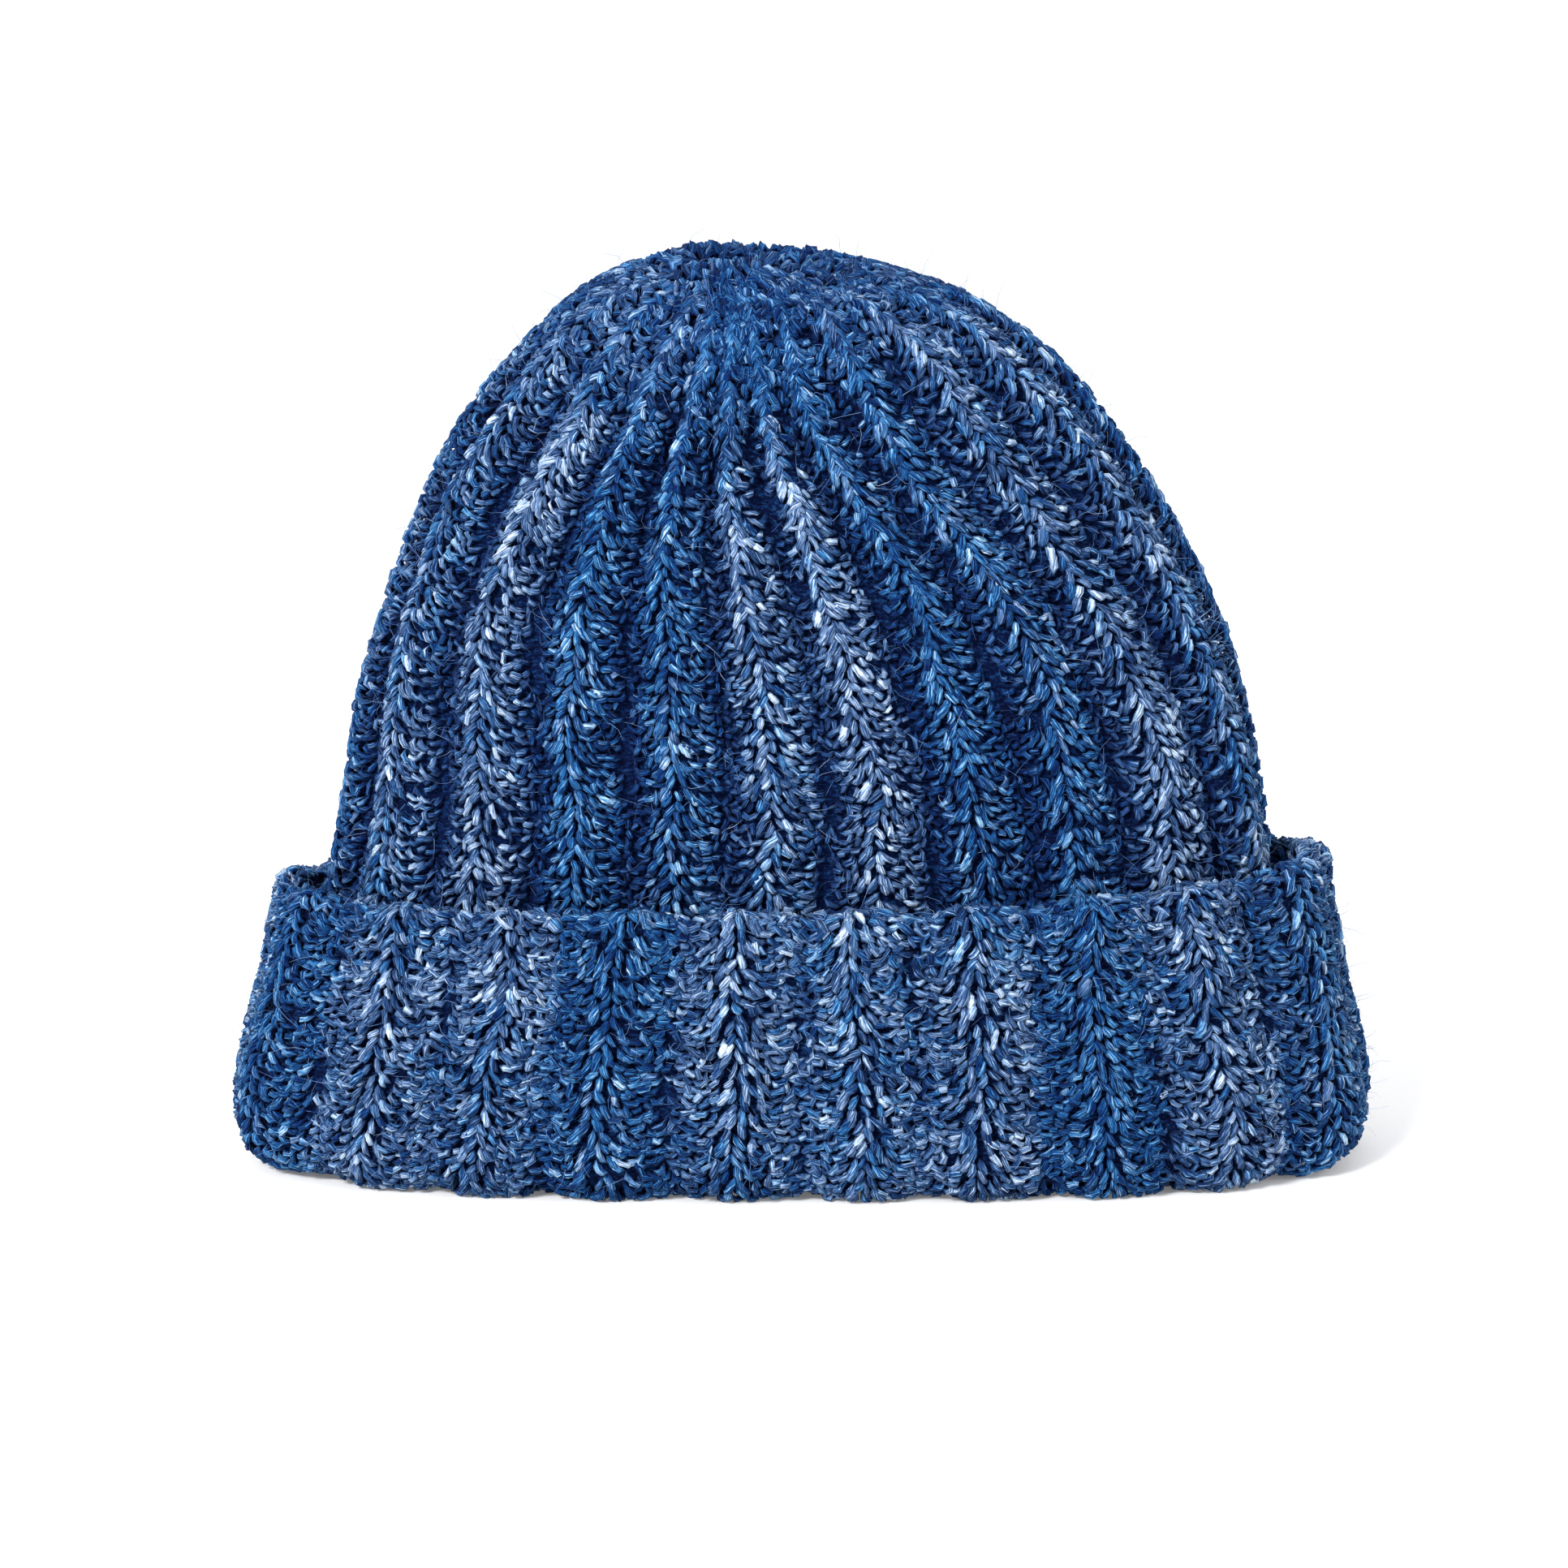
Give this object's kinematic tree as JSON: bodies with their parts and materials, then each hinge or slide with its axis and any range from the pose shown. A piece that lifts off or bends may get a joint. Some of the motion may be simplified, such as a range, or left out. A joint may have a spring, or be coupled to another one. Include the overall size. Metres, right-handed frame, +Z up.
{
  "type": "crocheted beanie",
  "caption": "Chunky ribbed beanie with a turned-up cuff, gathered at the top and open below for a head.",
  "frame": {"origin": "middle of the hat's outer box on the surface that it stands on", "axes": "+Z up through the crown, the front faces -Y, +X to the right of someone who faces the front"},
  "size_m": [0.2486, 0.1098, 0.1984],
  "materials": {
    "heather_yarn": "matt, soft and hairy denim-blue heather yarn"
  },
  "bodies": {
    "root": {"crown": "heather_yarn", "turned_up_cuff": "heather_yarn", "closing_stitches": "heather_yarn"}
  },
  "joints": []
}
